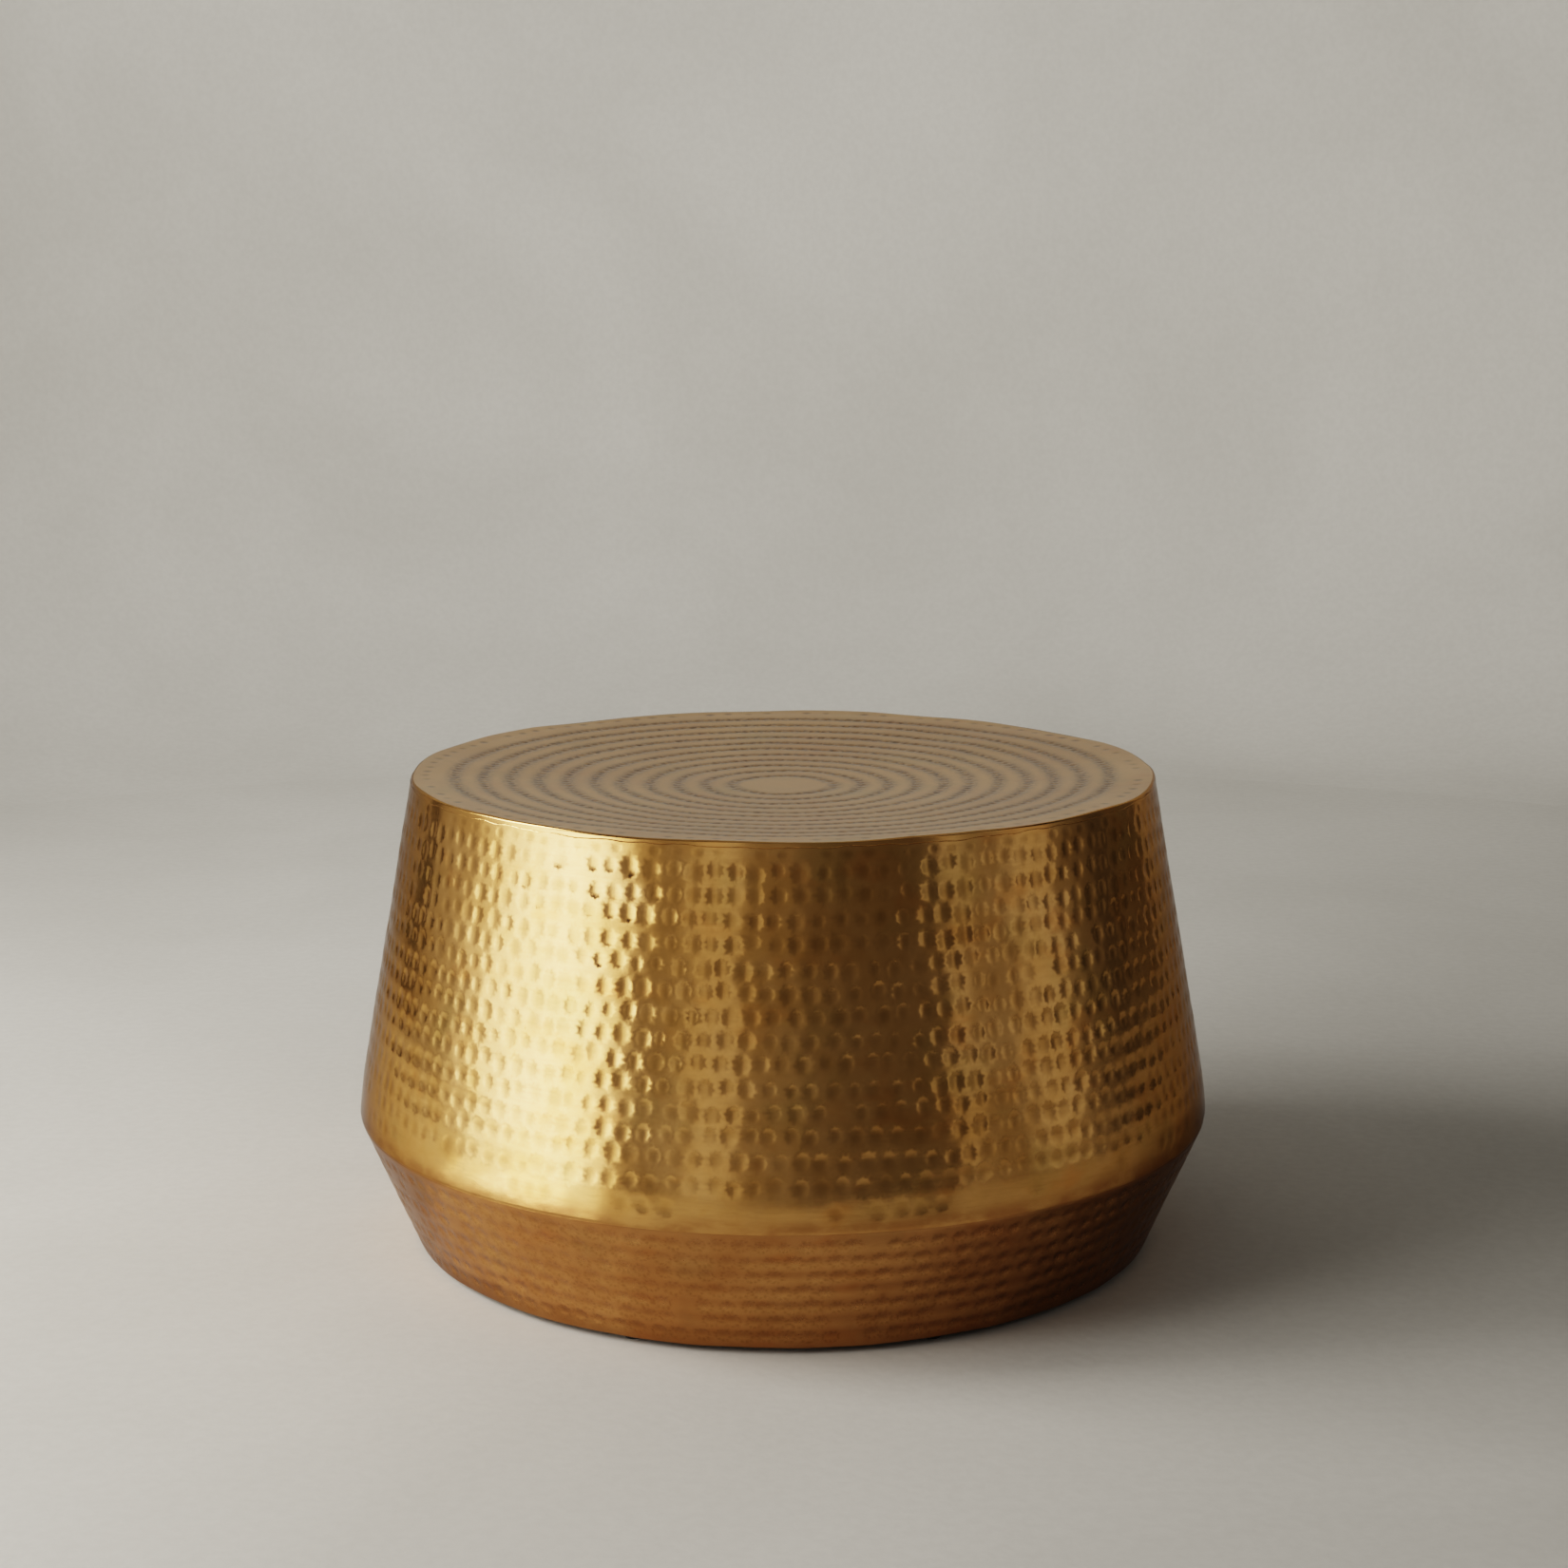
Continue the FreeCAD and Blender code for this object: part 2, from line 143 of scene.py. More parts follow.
class Pits:
    """Hammer pits on a surface with coordinates (x across, y down), in mm. x may go round with a period."""

    def __init__(self, period=None):
        self.period, self.rows = period, []

    def add(self, x, y, across, down, depth, tilt, tone):
        self.rows.append((x, y, across / 2, down / 2, depth, tilt, tone))

    def freeze(self):
        self.p = np.array(self.rows, float).reshape(-1, 7)

    def near(self, x, y):
        """For every pit, the points near it: (pit, indices, X, Y along the pit's own axes, q = squared share of its radius)."""
        reach = 1.75 * float(self.p[:, 2:4].max())
        order = np.argsort(y, kind="stable")
        ys = y[order]
        for k, (px, py, a, b, d, tilt, tone) in enumerate(self.p):
            lo, hi = np.searchsorted(ys, (py - reach, py + reach))
            ids = order[lo:hi]
            dx = x[ids] - px
            if self.period:
                dx = (dx + self.period / 2) % self.period - self.period / 2
            keep = np.abs(dx) < reach
            ids, dx = ids[keep], dx[keep]
            dy = y[ids] - py
            c, s = math.cos(tilt), math.sin(tilt)
            X, Y = c * dx + s * dy, -s * dx + c * dy
            yield k, ids, X, Y, (X / a) ** 2 + (Y / b) ** 2

    def relief(self, x, y):
        """Height and slopes along x and y of all pits at these points, how deep in a pit (0 to 1), how near to a pit's edge (0 to 1), and the pit's tone."""
        n = len(x)
        h, gx, gy, inside, edge, tones = (np.zeros(n) for _ in range(6))
        for k, ids, X, Y, q in self.near(x, y):
            _, _, a, b, d, tilt, tone = self.p[k]
            t = (1 - q ** (DISH / 2)) / EDGE_SOFT
            sp = EDGE_SOFT * softplus(t)
            slope = d / (1 + np.exp(-np.clip(t, -40, 40))) * DISH * q ** (DISH / 2 - 1)
            sx, sy = slope * X / a**2, slope * Y / b**2
            c, s = math.cos(tilt), math.sin(tilt)
            h[ids] -= d * sp
            gx[ids] += c * sx - s * sy
            gy[ids] += s * sx + c * sy
            inside[ids] = np.maximum(inside[ids], np.clip(sp, 0, 1))
            edge[ids] = np.maximum(edge[ids], np.exp(-(((np.sqrt(q) - 0.97) / 0.13) ** 2)))
            tones[ids] = np.where(q < 1.3, tone, tones[ids])
        return h, gx, gy, inside, edge, tones

    def points(self, rings):
        """Points on rings round every pit, less those that lie nearer to another pit."""
        xs, ys, owner, share = [], [], [], []
        rng = np.random.RandomState(5)
        for k, (px, py, a, b, d, tilt, tone) in enumerate(self.p):
            turn = rng.uniform(0, TAU)
            for rho, count in rings:
                t = turn + np.arange(count) / count * TAU + rho * 2.0
                X, Y = a * rho * np.cos(t), b * rho * np.sin(t)
                c, s = math.cos(tilt), math.sin(tilt)
                xs.append(px + c * X - s * Y)
                ys.append(py + s * X + c * Y)
                owner.append(np.full(count, k))
                share.append(np.full(count, rho))
        x, y, owner, share = map(np.concatenate, (xs, ys, owner, share))
        keep = np.ones(len(x), bool)
        for k, ids, X, Y, q in self.near(x, y):
            other = owner[ids] != k
            keep[ids[other & (np.sqrt(q) < share[ids] * 1.01)]] = False
        return x[keep], y[keep]

    def clear_of(self, x, y, share):
        keep = np.ones(len(x), bool)
        for k, ids, X, Y, q in self.near(x, y):
            keep[ids[q < share**2]] = False
        return keep


def thin(x, y, cell):
    """One point for each small cell, so that no two points lie on top of each other."""
    key = np.stack([np.round(x / cell), np.round(y / cell)], 1).astype(np.int64)
    _, first = np.unique(key, axis=0, return_index=True)
    first.sort()
    return x[first], y[first]


def triangles_round(x, y, period, parts=10, margin=40.0):
    """Delaunay triangles of points on a surface that closes on itself after one period of x."""
    tris = []
    for k in range(parts):
        a, b = period * k / parts, period * (k + 1) / parts
        dx = (x - a + margin) % period - margin + a
        ids = np.nonzero((dx >= a - margin) & (dx <= b + margin))[0]
        px, py = dx[ids], y[ids]
        verts, _, faces, origin, _, _ = delaunay_2d_cdt([Vector(q) for q in zip(px, py)], [], [], 0, 1e-5, True)
        back = np.array([ids[o[0]] for o in origin])
        place = np.array([v[0] for v in verts])
        f = np.array(faces)
        middle = place[f].mean(1)
        tris.append(back[f[(middle >= a) & (middle < b)]])
    return np.concatenate(tris)


def triangles_flat(x, y):
    verts, _, faces, origin, _, _ = delaunay_2d_cdt([Vector(q) for q in zip(x, y)], [], [], 0, 1e-5, True)
    back = np.array([o[0] for o in origin])
    return back[np.array(faces)]


# ------------------------------------------------------------------ meshes
def make_mesh(name, co, normals, faces, attributes=None, indices=None):
    """A mesh in metres. faces: list of (corner lists as an array, normals of the corners or None to take the points' own)."""
    polys, loop_normals, mats = [], [], []
    for n, (f, fn, mat) in enumerate(faces):
        polys += f.tolist()
        loop_normals.append((normals[f] if fn is None else fn).reshape(-1, 3))
        mats.append(np.full(len(f), mat))
    mesh = bpy.data.meshes.new(name)
    mesh.from_pydata((co * MM).tolist(), [], polys, shade_flat=False)
    mesh.polygons.foreach_set("material_index", np.concatenate(mats).astype(np.int32))
    for key, values in (attributes or {}).items():
        mesh.attributes.new(key, "FLOAT", "POINT").data.foreach_set("value", values.astype(np.float32))
    ln = np.concatenate(loop_normals)
    ln /= np.maximum(np.linalg.norm(ln, axis=1, keepdims=True), 1e-9)
    mesh.normals_split_custom_set(ln.tolist())
    mesh.update()
    obj = bpy.data.objects.new(name, mesh)
    bpy.context.scene.collection.objects.link(obj)
    return obj


def grid_faces(rows, flip):
    """Quads between rows of points that go all the way round: rows is (n rows, n columns) of point numbers."""
    rows = np.asarray(rows)
    a, b = rows[:-1], rows[1:]
    an, bn = np.roll(a, -1, 1), np.roll(b, -1, 1)
    f = np.stack([a, an, bn, b], -1).reshape(-1, 4)
    return f[:, ::-1] if flip else f


COLUMNS = 600
REF = 345.0                      # radius at which the walls are unrolled
PERIOD = TAU * REF


def wall_points(theta, s, pits, joggle=None):
    """Place, normal and masks of points on the drum's outside: relief masks, the mask of the painted shade on the belly
    band and the mask of the painted highlight on the lower wall's rows.
    """
    r, z, nr, nz = profile(s)
    wh, wt, ws = wall_wave(theta, s, r)
    ph, px, py, inside, edge, tone = pits.relief(theta * REF, s)
    h, gt, gs = wh + ph, wt + px * REF / r, ws + py
    if joggle is not None:
        jh, js = joggle(theta, s)
        h, gs = h + jh, gs + js
    radial = np.stack([np.cos(theta), np.sin(theta), np.zeros_like(theta)], 1)
    round_ = np.stack([-np.sin(theta), np.cos(theta), np.zeros_like(theta)], 1)
    up = np.array([0.0, 0.0, 1.0])
    out = radial * nr[:, None] + up * nz[:, None]
    down = radial * nz[:, None] - up * nr[:, None]
    co = radial * r[:, None] + up * z[:, None] + out * h[:, None]
    normal = out - round_ * gt[:, None] - down * gs[:, None]
    normal /= np.linalg.norm(normal, axis=1, keepdims=True)
    # turn: mask of the painted shade, rising over the 15 mm above the belly corner and ending at the seam
    t = np.clip((s - S_CORNER + 15.0) / 14.0, 0, 1) * (s < S_SEAM)
    # row: mask of the painted highlight, strongest over the lower half of each row of the lower wall
    row = np.clip(np.minimum(s - S_LOWER - 2.0, S_FOOT - 2.0 - s) / 6.0, 0, 1) * (0.5 + 0.5 * np.sin(low_phase(theta, s)))
    return co, normal, {"pit": inside, "rim": edge, "tone": tone, "turn": t * t * (3 - 2 * t), "row": row}


LOW_FIRST, LOW_PITCH, LOW_ROWS = S_LOWER + 9.0, 15.6, 7


def low_phase(theta, s):
    """Where a point of the lower wall lies between its slightly wandering rows."""
    return TAU * (s - LOW_FIRST - 1.1 * np.sin(4 * theta + 0.7) - 0.8 * np.sin(7 * theta + 2.0)) / LOW_PITCH


def fill(pits, y0, y1, step, clear, seed, period=PERIOD):
    rng = np.random.RandomState(seed)
    rows = int((y1 - y0) / (step * 0.866))
    xs, ys = [], []
    for k in range(1, rows):
        n = int(period / step)
        xs.append((np.arange(n) + 0.5 * (k % 2) + rng.uniform(-0.25, 0.25, n)) * period / n)
        ys.append(y0 + (y1 - y0) * k / rows + rng.uniform(-0.2, 0.2, n) * step)
    x, y = np.concatenate(xs) % period, np.concatenate(ys)
    keep = pits.clear_of(x, y, clear) & (y > y0 + 1.6) & (y < y1 - 1.6)
    return x[keep], y[keep]


def build_wall(name, pits, rings, s_rows_top, y0, y1, s_rows_low, inner, joggle, step, seed):
    """A closed sheet-metal wall. Its outside is rows of points at the top, a hammered field from y0 to y1 and rows at the bottom; inner is the (r, z, nr, nz) line of the inside, from bottom to top."""
    theta_c = (np.arange(COLUMNS) + 0.5) / COLUMNS * TAU
    px, py = pits.points(rings)
    keep = (py > y0 + 1.3) & (py < y1 - 1.3)
    px, py = px[keep] % PERIOD, py[keep]
    fx, fy = fill(pits, y0, y1, step, 1.27, seed)
    x, y = thin(np.concatenate([px, fx]), np.concatenate([py, fy]), 0.8)
    x = np.concatenate([theta_c * REF, theta_c * REF, x])
    y = np.concatenate([np.full(COLUMNS, y0), np.full(COLUMNS, y1), y])
    tris = triangles_round(x, y, PERIOD)[:, ::-1]
    theta, s, rows_top, rows_low = [x / REF], [y], [], []
    at = len(x)
    for s_row, rows in [(v, rows_top) for v in s_rows_top] + [(v, rows_low) for v in s_rows_low]:
        theta.append(theta_c)
        s.append(np.full(COLUMNS, s_row))
        rows.append(np.arange(at, at + COLUMNS))
        at += COLUMNS
    theta, s = np.concatenate(theta), np.concatenate(s)
    co, normal, masks = wall_points(theta, s, pits, joggle)
    # top rows come first and run down to the field's first row; the low rows follow the field's last row
    first, last = np.arange(COLUMNS), np.arange(COLUMNS, 2 * COLUMNS)
    top_strip = np.array(rows_top + [first])
    low_strip = np.array([last] + rows_low)
    faces = [(tris, None, 0)]
    if len(top_strip) > 1:
        faces.append((grid_faces(top_strip, True), None, 0))
    if len(low_strip) > 1:
        faces.append((grid_faces(low_strip, True), None, 0))
    # inside and edges
    radial = np.stack([np.cos(theta_c), np.sin(theta_c), np.zeros(COLUMNS)], 1)
    in_rows, in_co, in_n = [], [], []
    for r, z, nr, nz in inner:
        in_co.append(radial * r + np.array([0, 0, z]))
        in_n.append(radial * nr + np.array([0, 0, nz]))
        in_rows.append(np.arange(at, at + COLUMNS))
        at += COLUMNS
    co = np.concatenate([co] + in_co)
    normal = np.concatenate([normal] + in_n)
    for key in masks:
        masks[key] = np.concatenate([masks[key], np.zeros(len(in_rows) * COLUMNS)])
    strip = grid_faces(np.array(in_rows), True)
    faces.append((strip, None, 1))
    for a, b in ((low_strip[-1], in_rows[0]), (in_rows[-1], top_strip[0])):
        f = grid_faces(np.array([a, b]), True)
        v = co[f]
        fn = np.cross(v[:, 2] - v[:, 0], v[:, 3] - v[:, 1])
        faces.append((f, np.repeat(fn[:, None], 4, 1), 1))
    return make_mesh(name, co, normal, faces, masks)


def row_of_pits(pits, rng, s, count, across, down, depth, start, jitter=1.0, skip=0.0, wander=None, gone=None):
    r = float(profile(np.array([s]))[0][0])
    place = (np.arange(count) + start) / count * TAU
    for t in place:
        if rng.rand() < skip or (gone and gone(t)):
            continue
        t = t + rng.normal(0, 0.9) * jitter / r
        y = s + np.clip(rng.normal(0, 0.75), -1.6, 1.6) * jitter + (wander(t) if wander else 0.0)
        k = np.clip(rng.normal(1, 0.09), 0.78, 1.2)
        pits.add((t * REF) % PERIOD, y, across * k * np.clip(rng.normal(1, 0.06), 0.86, 1.14) * REF / r, down * k,
                 depth * k * np.clip(rng.normal(1, 0.18), 0.5, 1.4), np.clip(rng.normal(0, 0.08), -0.22, 0.22), rng.rand())


# upper wall: rows of tall oval pits from just under the lip down to the belly's plain band
rng = np.random.RandomState(3)
upper_pits = Pits(PERIOD)
UPPER_ROWS = [11.0] + [24.0 + 18.25 * k for k in range(14)] + [280.0]
for k, s_row in enumerate(UPPER_ROWS):
    r_row = float(profile(np.array([s_row]))[0][0])
    first, last = k == 0, k == len(UPPER_ROWS) - 1
    count = int(round(TAU * r_row / 16.4))
    fade = 1 - 0.45 * min(max((s_row - 170.0) / 90.0, 0.0), 1.0)      # the beating gets lighter towards the belly
    ph1, ph2 = rng.uniform(0, TAU, 2)
    wander = lambda t, a=ph1, b=ph2, c=0.3 if first else 1.0: c * (0.9 * math.sin(3 * t + a) + 0.7 * math.sin(7 * t + b))
    across, down, depth = (9.8, 8.2, 0.18) if first else (13.4, 14.4, 0.19) if last else (11.8, 14.4, 0.51 * fade)
    patchy = (lambda t: math.sin(9 * t + 1.0) + math.sin(14 * t + 2.2) + 0.8 * math.sin(23 * t) < 0.25) if last else None     # the last row comes and goes
    row_of_pits(upper_pits, rng, s_row, count, across, down, depth, rng.rand() + 0.5 * (k % 2), jitter=0.55 if first else 1.25,
                skip=0.12 if first else 0.004, wander=wander, gone=patchy)
upper_pits.freeze()

# lower wall: seven rows of shallower, wider pits
lower_pits = Pits(PERIOD)
for k in range(LOW_ROWS):
    s_row = LOW_FIRST + LOW_PITCH * k
    r_row = float(profile(np.array([s_row]))[0][0])
    wander = lambda t: 1.1 * math.sin(4 * t + 0.7) + 0.8 * math.sin(7 * t + 2.0)
    row_of_pits(lower_pits, rng, s_row, int(round(TAU * r_row / 17.0)), 12.6, 11.2, 0.56, rng.rand() + 0.5 * (k % 2),
                skip=0.03, wander=wander)
lower_pits.freeze()

# the lip's lower edge was trimmed by hand, and the top's outline isn't quite round
def hand_line(theta, seed, size, orders):
    rng = np.random.RandomState(seed)
    line = np.zeros(len(theta))
    for m in orders:
        line += rng.normal(0, 1) / math.sqrt(len(orders)) * np.cos(m * theta + rng.uniform(0, TAU))
    return size * line


def lip_edge(theta):
    return LIP_S + np.clip(hand_line(theta, 12, 0.75, [5, 8, 9, 13, 17, 22, 27, 33, 41, 52, 63, 77]), -0.9, 0.9)


LIP_TOP, LIP_TIP = 1.70, 0.55     # how far in the lip's inside lies, at its top and at its feathered lower edge


def upper_joggle(theta, s):
    """The wall's rim leans in behind the top's turned-down lip, and comes out flush with it at the lip's lower edge."""
    end = lip_edge(theta)
    deep, tip = LIP_TOP + WALL_BASE, LIP_TIP + 0.06 + WALL_BASE
    behind = -deep + (deep - tip) * np.clip((s - 2.4) / (end - 2.4), 0, 1)
    t = np.clip((s - end) / 0.5, 0, 1)
    below = -tip * (1 - t * t * (3 - 2 * t))
    slope = np.where(s < end, (deep - tip) / (end - 2.4), tip * 6 * t * (1 - t) / 0.5)
    return np.where(s < end, behind, below), slope


def seam_edge(theta, s):
    """A hair of rounding where the two walls meet at the belly."""
    t = np.clip(1 - np.abs(s - S_SEAM) / 1.1, 0, 1)
    return -0.16 * t * t, 0.32 * t / 1.1 * np.sign(s - S_SEAM)


def lower_relief(theta, s):
    """The seam's rounding, and the low ridges that the beating left between the lower wall's rows."""
    h, g = seam_edge(theta, s)
    w = low_phase(theta, s)
    t = np.clip(np.minimum(s - S_LOWER - 2.0, S_FOOT - 4.0 - s) / 8.0, 0, 1)
    full = 0.085 * t * t * (3 - 2 * t) * (0.80 + 0.14 * np.sin(5 * theta + 1.2) + 0.06 * np.sin(11 * theta + 0.5))
    return h - full * (1 + np.cos(w)), g + full * TAU / LOW_PITCH * np.sin(w)


RIDGE = 0.045


def row_ridges(theta, s):
    """The low ridges that the beating left between the upper wall's rows."""
    w = TAU * (s - UPPER_ROWS[1] - 0.8 * np.sin(3 * theta + 0.4) - 0.6 * np.sin(8 * theta + 1.0)) / (UPPER_ROWS[2] - UPPER_ROWS[1])
    t = np.clip(np.minimum((s - 9.0) / 9.0, (282.0 - s) / 24.0), 0, 1)
    full = RIDGE * t * t * (3 - 2 * t)
    return -full * (1 + np.cos(w)), full * TAU / (UPPER_ROWS[2] - UPPER_ROWS[1]) * np.sin(w)


def both(theta, s):
    parts = upper_joggle(theta, s), seam_edge(theta, s), row_ridges(theta, s)
    return sum(p[0] for p in parts), sum(p[1] for p in parts)


def inset(s_list, off):
    r, z, nr, nz = profile(np.array(s_list, float))
    return [(a - off * c, b - off * d, -c, -d) for a, b, c, d in zip(r, z, nr, nz)]


WALL_RINGS = [(0.0, 1), (0.5, 5), (0.78, 8), (0.96, 10), (1.13, 10)]
upper_inner = (inset([S_SEAM] + list(np.linspace(S_SEAM - 1.0, S_CURVE, 7)) + [215.0, 160.0, 110.0, 50.0, 14.0, 9.6], SHEET + 0.5)
               + inset([6.8, 3.1], SHEET + LIP_TOP + 0.4))
upper_wall = build_wall(
    "upper_wall", upper_pits, WALL_RINGS,
    [3.1, 3.5, 3.9, 4.3, 4.6, 4.9, 5.2, 5.5, 5.8, 6.1, 6.4], 6.8, S_CORNER - 10.0,
    list(np.linspace(S_CORNER - 8.5, S_CORNER, 6)) + [S_CORNER + 0.9, S_SEAM - 1.1, S_SEAM - 0.7, S_SEAM - 0.35, S_SEAM - 0.03],
    upper_inner, both, 4.9, 21)

foot_in = [(R_HEM, FLOOR_GAP + SHEET, 0.0, 1.0)]
lower_inner = (foot_in + inset(list(np.linspace(S_HEM, S_FOOT, 4)) + [S_FOOT - 20, S_LOWER + 40], SHEET)
               + inset([S_LOWER + 6.0, S_LOWER, S_SEAM + 1.0, S_SEAM + 0.03], SHEET + 0.5))
lower_wall = build_wall(
    "lower_wall", lower_pits, WALL_RINGS,
    [S_SEAM + 0.03, S_SEAM + 0.35, S_SEAM + 0.7, S_SEAM + 1.1, S_SEAM + 1.9, S_LOWER], S_LOWER + 1.0, S_FOOT - 3.0,
    [S_FOOT - 1.4] + list(np.linspace(S_FOOT, S_HEM, 7)) + [S_END],
    lower_inner, lower_relief, 4.5, 22)

# ------------------------------------------------------------------ top: a shallow dish with beaten rings, plain lands, a rounded edge and a turned-down lip
R_FLAT = R_RIM - R_EDGE * math.tan((math.pi / 2 - ANG_U) / 2)
TOP_WAVES = waves(17, 18, 70.0, 260.0, 0.16, TAU * 345)


TOP_DISH, R_DISH, R_MIDDLE = 16.0, 318.0, RING_FIRST - 4.5


def dish(r):
    """How far the dished top lies below its rim at radius r, and how steeply it rises there."""
    r, span = np.asarray(r, float), R_DISH ** 2 - R_MIDDLE ** 2
    inside = np.clip(r, R_MIDDLE, R_DISH)
    return TOP_DISH * (1 - (inside ** 2 - R_MIDDLE ** 2) / span), np.where((r > R_MIDDLE) & (r < R_DISH), 2 * TOP_DISH * r / span, 0.0)


def ring_wobble(k, theta):
    """How far a ring, beaten by eye, strays from its circle."""
    rng = np.random.RandomState(40 + k)
    line = 0.0
    for m in (2, 3, 4, 5, 7):
        line = line + rng.normal(0, 0.42) * np.cos(m * theta + rng.uniform(0, TAU))
    return line


def top_wave(x, y):
    """Slow waves of the top sheet, and the shallow groove that each ring of pits lies in."""
    _, _, phase, high = TOP_WAVES
    rng = np.random.RandomState(18)
    h, gx, gy = np.full(len(x), -0.62), np.zeros(len(x)), np.zeros(len(x))
    for p, a in zip(phase, high):
        length = np.exp(rng.uniform(math.log(70.0), math.log(260.0)))
        way = rng.uniform(0, TAU)
        qx, qy = TAU / length * math.cos(way), TAU / length * math.sin(way)
        w = qx * x + qy * y + p
        h += a * np.cos(w)
        gx -= a * qx * np.sin(w)
        gy -= a * qy * np.sin(w)
    r = np.maximum(np.hypot(x, y), 1e-6)
    theta = np.arctan2(y, x)
    for k in range(RING_COUNT):
        deep, wide = (0.45, 4.6) if k < RING_COUNT - 1 else (0.16, 4.6)
        d = (r - RING_FIRST - RING_PITCH * k - ring_wobble(k, theta)) / wide
        e = deep * np.exp(-d * d)
        g = e * 2 * d / wide
        h -= e
        gx += g * x / r
        gy += g * y / r
    return h, gx, gy


rng = np.random.RandomState(8)
top_pits = Pits()
for k in range(RING_COUNT):
    r_k = RING_FIRST + RING_PITCH * k
    last = k == RING_COUNT - 1
    count = int(round(TAU * r_k / (10.6 if not last else 19.0)))
    start = rng.rand()
    for j in range(count):
        t = (j + start) / count * TAU + rng.normal(0, 0.55) / r_k
        rr = r_k + float(ring_wobble(k, t)) + np.clip(rng.normal(0, 0.55), -1.2, 1.2)
        if last and rng.rand() < 0.15:
            continue
        size = np.clip(rng.normal(1, 0.07), 0.85, 1.15)
        top_pits.add(rr * math.cos(t), rr * math.sin(t), 8.4 * size, 9.4 * size * np.clip(rng.normal(1, 0.05), 0.9, 1.1),
                     (0.30 if not last else 0.15) * np.clip(rng.normal(1, 0.22), 0.5, 1.5), t, rng.rand())
top_pits.freeze()

COLS_TOP = 720
th = (np.arange(COLS_TOP) + 0.5) / COLS_TOP * TAU
px, py = top_pits.points([(0.0, 1), (0.45, 5), (0.8, 9), (1.0, 11), (1.22, 11)])
gx_, gy_ = np.meshgrid(np.arange(-322, 323, 4.6), np.arange(-322, 323, 4.0))
gx_[::2] += 2.3
jit = np.random.RandomState(9)
gx_, gy_ = (gx_ + jit.uniform(-0.9, 0.9, gx_.shape)).ravel(), (gy_ + jit.uniform(-0.9, 0.9, gy_.shape)).ravel()
ok = top_pits.clear_of(gx_, gy_, 1.4)
fx, fy = thin(np.concatenate([px, gx_[ok]]), np.concatenate([py, gy_[ok]]), 0.75)
ok = np.hypot(fx, fy) < R_FLAT - 1.6
fx, fy = np.concatenate([R_FLAT * np.cos(th), fx[ok]]), np.concatenate([R_FLAT * np.sin(th), fy[ok]])
tris = triangles_flat(fx, fy)
wh, wx, wy = top_wave(fx, fy)
ph, pgx, pgy, inside, edge, tone = top_pits.relief(fx, fy)
edge = 0.25 * edge
for k in range(RING_COUNT - 1):
    d = (np.hypot(fx, fy) - RING_FIRST - RING_PITCH * k - ring_wobble(k, np.arctan2(fy, fx))) / 6.6
    edge = np.maximum(edge, np.exp(-np.abs(d) ** 2.6))
h, gx, gy = wh + ph, wx + pgx, wy + pgy
low, rise = dish(np.hypot(fx, fy))
near_rim = np.clip((np.hypot(fx, fy) - R_FLAT + 26.0) / 26.0, 0, 1) ** 2
h += near_rim * np.clip(hand_line(np.arctan2(fy, fx), 14, 1.5, [5, 7, 9, 10, 12, 14, 17, 19, 23]) - 0.5, -2.6, 0.4)     # the rim rises and falls a little
gx, gy = gx + rise * fx / np.maximum(np.hypot(fx, fy), 1e-6), gy + rise * fy / np.maximum(np.hypot(fx, fy), 1e-6)
top_co = np.stack([fx, fy, HEIGHT - low + h], 1)
top_n = np.stack([-gx, -gy, np.ones(len(fx))], 1)

# the edge: a small bend, then the lip
h_rim = h[:COLS_TOP]
out_line = -0.50 + np.clip(hand_line(th, 13, 0.50, [2, 3, 4, 5, 7, 8, 11, 13, 17, 19, 23, 29, 37, 43]), -0.8, 0.45)
edge_c = np.array([R_FLAT, HEIGHT - R_EDGE])
angles = np.linspace(math.pi / 2, ANG_U, 9)[1:]
rim_rows, rim_co, rim_n = [np.arange(COLS_TOP)], [], []
at = len(top_co)


def rim_row(r, z, nr, nz):
    global at
    rad = np.stack([np.cos(th), np.sin(th)], 1)
    rim_co.append(np.column_stack([rad * np.broadcast_to(r, COLS_TOP)[:, None], np.broadcast_to(z, COLS_TOP)]))
    rim_n.append(np.column_stack([rad * nr, np.full(COLS_TOP, nz)]))
    row = np.arange(at, at + COLS_TOP)
    rim_rows.append(row)
    at += COLS_TOP


for a in angles:
    share = (math.pi / 2 - a) / (math.pi / 2 - ANG_U)
    rim_row(edge_c[0] + R_EDGE * math.cos(a) + out_line * share, edge_c[1] + R_EDGE * math.sin(a) + h_rim * (1 - 0.5 * share), math.cos(a), math.sin(a))
S_EDGE = float(np.linalg.norm(edge_c + R_EDGE * OUT_U - RIM))
s_lip = lip_edge(th)
for share in (0.25, 0.5, 0.75, 0.9):
    s_row = S_EDGE + (s_lip - S_EDGE) * share
    off = -out_line * (1 - share) + 0.16 * share
    rim_row(RIM[0] + DOWN_U[0] * s_row - OUT_U[0] * off, RIM[1] + DOWN_U[1] * s_row - OUT_U[1] * off + h_rim * 0.5 * (1 - share), OUT_U[0], OUT_U[1])
for off, ds, tilt in ((0.18, -0.22, 0.35), (0.28, -0.06, 0.8), (0.42, 0.0, 1.3)):     # the rounded lower edge
    c, s_ = math.cos(tilt), math.sin(tilt)
    n = OUT_U * c + DOWN_U * s_
    rim_row(RIM[0] + DOWN_U[0] * (s_lip + ds) - OUT_U[0] * off, RIM[1] + DOWN_U[1] * (s_lip + ds) - OUT_U[1] * off, n[0], n[1])
n_lip = len(rim_rows)
rim_row(RIM[0] + DOWN_U[0] * s_lip - OUT_U[0] * LIP_TIP, RIM[1] + DOWN_U[1] * s_lip - OUT_U[1] * LIP_TIP, -OUT_U[0], -OUT_U[1])
low_in = HEIGHT - SHEET - 0.8
s_in = 2.9
